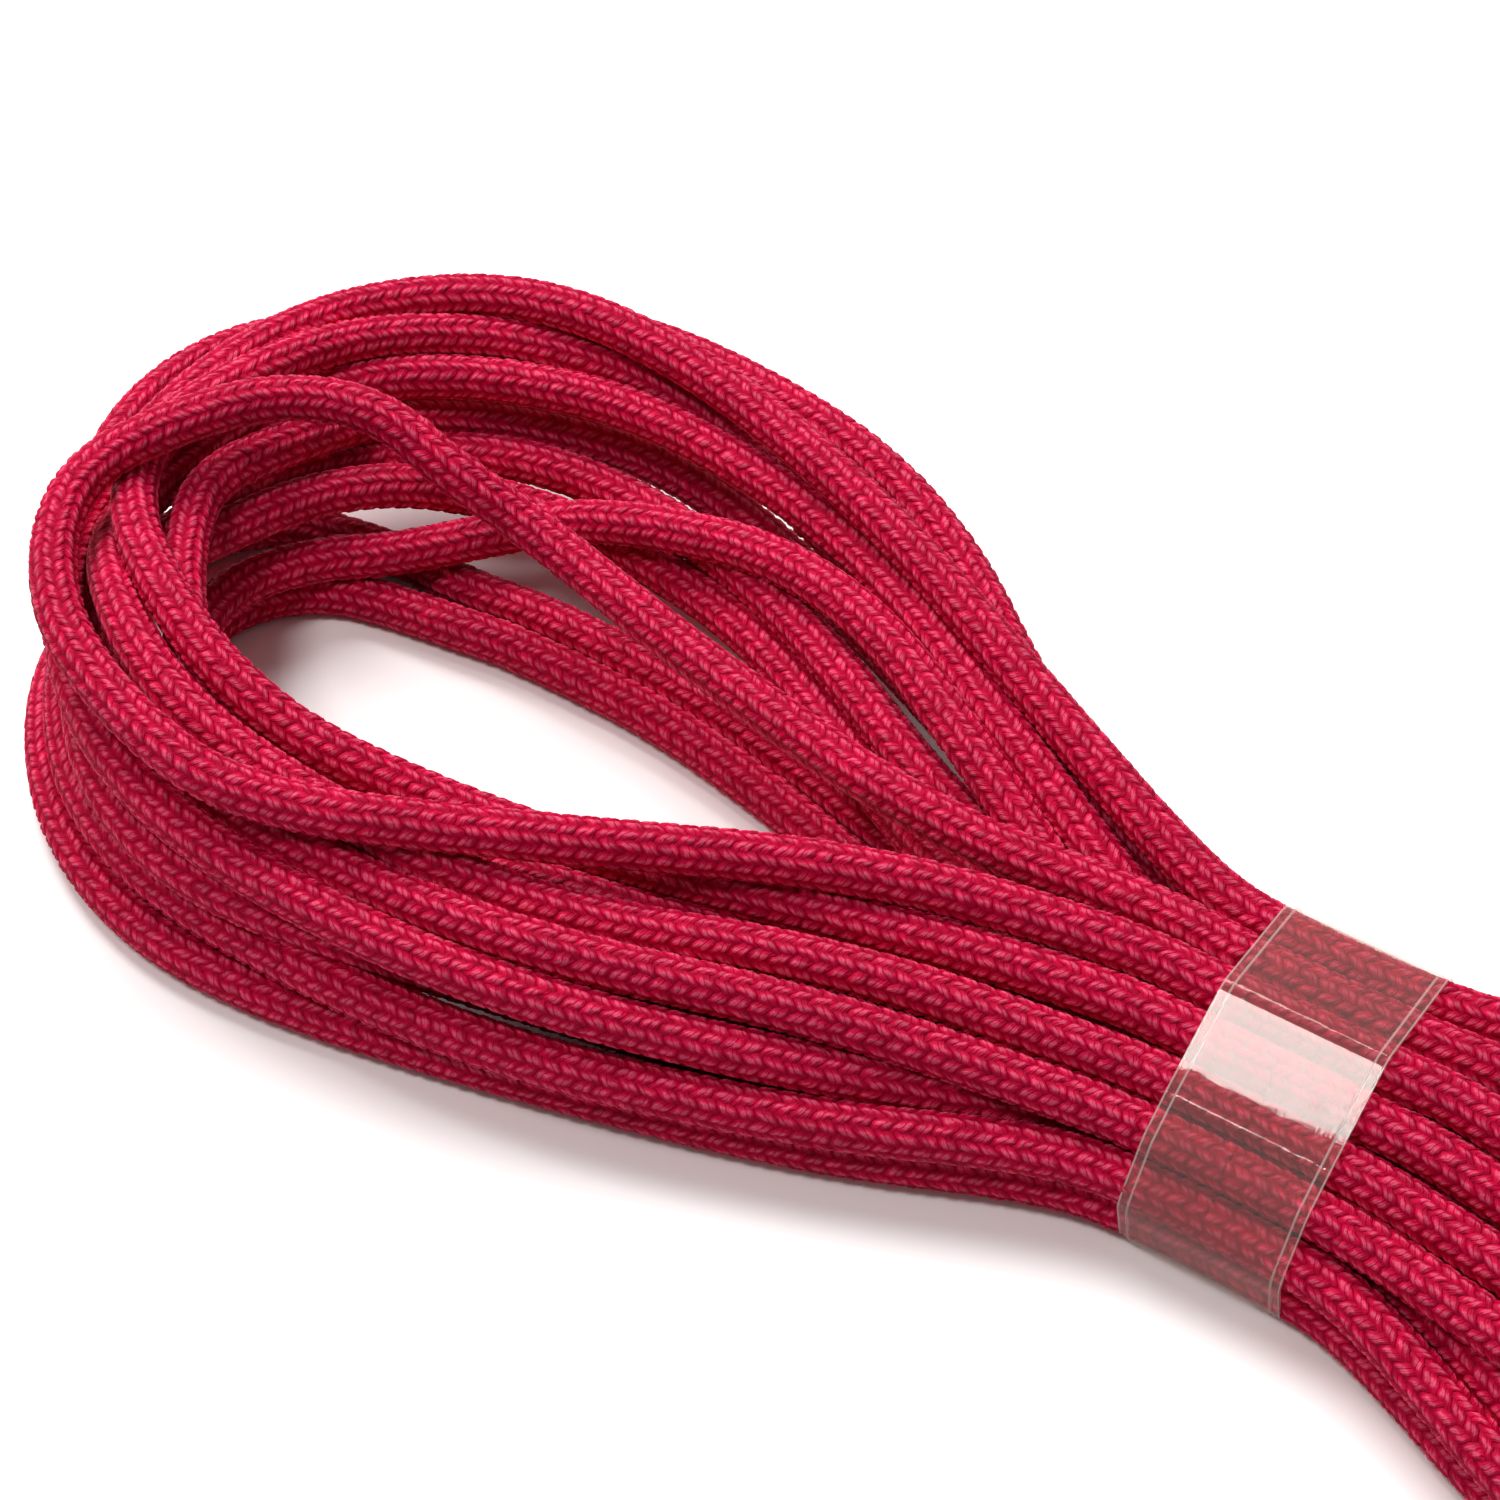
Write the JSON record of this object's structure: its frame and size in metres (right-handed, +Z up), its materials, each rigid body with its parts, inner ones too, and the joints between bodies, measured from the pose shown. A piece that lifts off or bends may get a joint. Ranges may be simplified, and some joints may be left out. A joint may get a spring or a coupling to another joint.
{
  "type": "climbing rope hank",
  "caption": "Thin dynamic climbing rope wound into a long loose figure-of-eight hank, held at its waist by a band of clear tape, with its free ends inside one loop.",
  "frame": {"origin": "middle of the tape band, on the plane that the hank lies on", "axes": "+X along the hank, towards the loop that holds the two free ends; +Y across it; +Z up"},
  "size_m": [0.449, 0.139, 0.047],
  "materials": {
    "rope_sheath": "crimson braided polyamide sheath",
    "rope_core": "white twisted polyamide core yarn",
    "tracer": "thin blue tracer yarn",
    "clear_tape": "clear polypropylene packing film, glossy",
    "fused_nylon": "melted polyamide, dark and shiny",
    "clear_sleeve": "clear shrunk polyolefin sleeve"
  },
  "bodies": {
    "root": {"hank": "rope_sheath", "tape_band": "clear_tape", "sheath_a": "rope_sheath", "sheath_b": "rope_sheath", "core_yarn_a1": "rope_core", "core_yarn_a2": "rope_core", "core_yarn_a3": "rope_core", "core_yarn_a4": "rope_core", "core_yarn_a5": "rope_core", "core_yarn_a6": "rope_core", "core_yarn_a7": "rope_core", "core_yarn_b1": "rope_core", "core_yarn_b2": "rope_core", "core_yarn_b3": "rope_core", "core_yarn_b4": "rope_core", "core_yarn_b5": "rope_core", "core_yarn_b6": "rope_core", "core_yarn_b7": "rope_core", "tracer_yarn_a": "tracer", "tracer_yarn_b": "tracer", "fused_tip_a": "fused_nylon", "fused_tip_b": "fused_nylon", "end_sleeve_a": "clear_sleeve", "end_sleeve_b": "clear_sleeve"}
  },
  "joints": []
}
